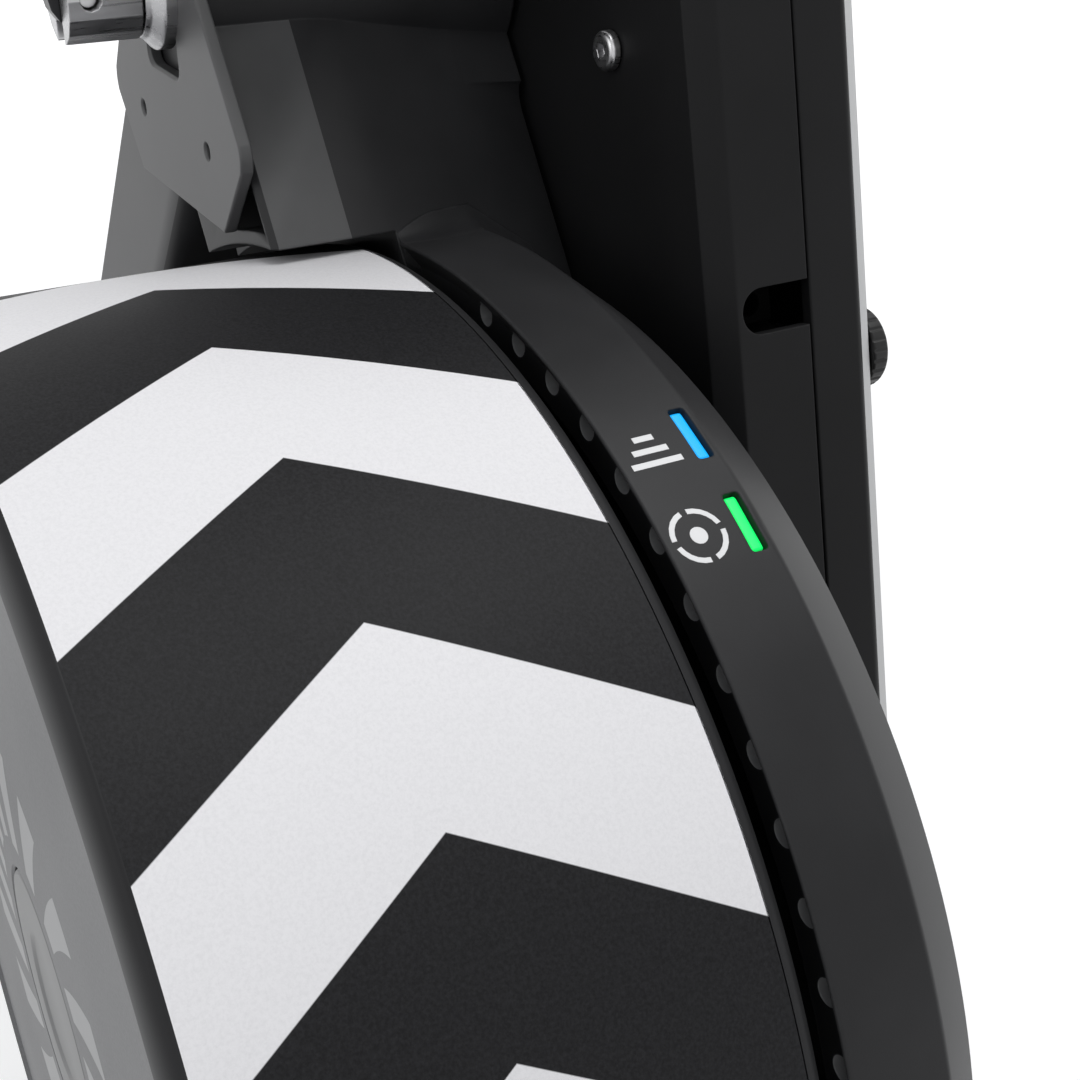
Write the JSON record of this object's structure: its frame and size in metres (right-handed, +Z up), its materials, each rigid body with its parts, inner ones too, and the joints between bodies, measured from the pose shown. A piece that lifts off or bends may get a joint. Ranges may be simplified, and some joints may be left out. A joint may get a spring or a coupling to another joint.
{
  "type": "direct drive bike trainer",
  "caption": "Stationary trainer that takes the place of a bicycle rear wheel: chevron drum flywheel, round brake housing, cast A-frame, belt case and freehub.",
  "frame": {"origin": "on the floor, midway between the ends and the sides of the footprint", "axes": "+X forward towards the front foot, +Y to the left (flywheel side), +Z up"},
  "size_m": [0.547, 0.48, 0.427],
  "materials": {
    "cast_frame": "satin powder coat over cast alloy",
    "plate_metal": "satin grey coat",
    "case_plastic": "fine matte grain",
    "panel_plastic": "smooth satin, light grey",
    "black_plastic": "satin black",
    "cap_plastic": "satin mid grey",
    "drum_iron": "painted iron, white and near-black chevrons with fine grain",
    "steel": "machined",
    "alloy": "machined",
    "lever_metal": "black anodised",
    "belt_rubber": "ribbed belt rubber",
    "foot_rubber": "matte rubber",
    "lens_blue": "lit indicator window, blue",
    "lens_green": "lit indicator window, green",
    "board": "coated circuit board",
    "bar_metal": "satin powder coat"
  },
  "bodies": {
    "frame": {"axle": "steel", "axle_end_left": "steel", "axle_end_right": "steel", "belt_case": "case_plastic", "belt_cover": "case_plastic", "brake_stator": "steel", "carry_handle": "case_plastic", "case_screw_1": "steel", "case_screw_2": "steel", "case_screw_3": "steel", "case_screw_4": "steel", "control_board": "board", "drive_belt": "belt_rubber", "freehub_bearing_inner": "steel", "freehub_bearing_outer": "steel", "front_bolt_1": "steel", "front_bolt_2": "steel", "front_end_cap_left": "foot_rubber", "front_end_cap_right": "foot_rubber", "front_foot_bar": "bar_metal", "front_foot_pad_left": "foot_rubber", "front_foot_pad_right": "foot_rubber", "front_leg": "cast_frame", "hub_bearing_left": "steel", "hub_bearing_right": "steel", "indicator_board": "board", "lens_blue": "lens_blue", "lens_green": "lens_green", "lever_pin": "steel", "main_frame": "cast_frame", "plate_pin_front": "steel", "plate_pin_rear": "steel", "power_socket": "black_plastic", "rear_bolt_1": "steel", "rear_bolt_2": "steel", "rear_end_cap_left": "foot_rubber", "rear_end_cap_right": "foot_rubber", "rear_foot_bar": "bar_metal", "rear_foot_pad_left": "foot_rubber", "rear_foot_pad_right": "foot_rubber", "sensor_screw": "steel", "shaft_bearing_left": "steel", "shaft_bearing_right": "steel", "side_panel": "panel_plastic", "side_plate": "plate_metal", "skewer": "steel", "skewer_nut": "lever_metal", "speed_sensor": "black_plastic"},
    "flywheel": {"flywheel_drum": "drum_iron", "hub_cap": "cap_plastic", "magnet_ring": "steel", "flywheel_shaft": "steel", "pinion": "steel"},
    "pulley": {"drive_pulley": "alloy"},
    "freehub": {"freehub_body": "alloy"},
    "tensioner": {"tension_arm": "steel", "tension_knob": "black_plastic"},
    "idler": {"idler_pulley": "black_plastic"},
    "lever": {"skewer_lever": "lever_metal"}
  },
  "joints": [
    {"name": "flywheel_spin", "type": "hinge", "parent": "frame", "child": "flywheel", "pos_m": [-0.0795, 0.06, 0.189], "axis": [0, 1, 0], "continuous": true},
    {"name": "pulley_spin", "type": "hinge", "parent": "frame", "child": "pulley", "pos_m": [-0.0235, -0.03, 0.34499], "axis": [0, 1, 0], "continuous": true},
    {"name": "freehub_spin", "type": "hinge", "parent": "frame", "child": "freehub", "pos_m": [-0.0235, -0.066, 0.34499], "axis": [0, 1, 0], "continuous": true},
    {"name": "tension_turn", "type": "hinge", "parent": "frame", "child": "tensioner", "pos_m": [-0.0999, -0.048, 0.28971], "axis": [0, 1, 0], "range_deg": [0, 80]},
    {"name": "idler_spin", "type": "hinge", "parent": "tensioner", "child": "idler", "pos_m": [-0.09475, -0.03, 0.28935], "axis": [0, 1, 0], "continuous": true},
    {"name": "lever_swing", "type": "hinge", "parent": "frame", "child": "lever", "pos_m": [-0.0235, 0.0556, 0.34499], "axis": [-1, 0, 0], "range_deg": [0, 150]}
  ],
  "couplings": [
    {"joint": "pulley_spin", "follows": "flywheel_spin", "ratio": 0.22414},
    {"joint": "idler_spin", "follows": "flywheel_spin", "ratio": -2.1667}
  ]
}
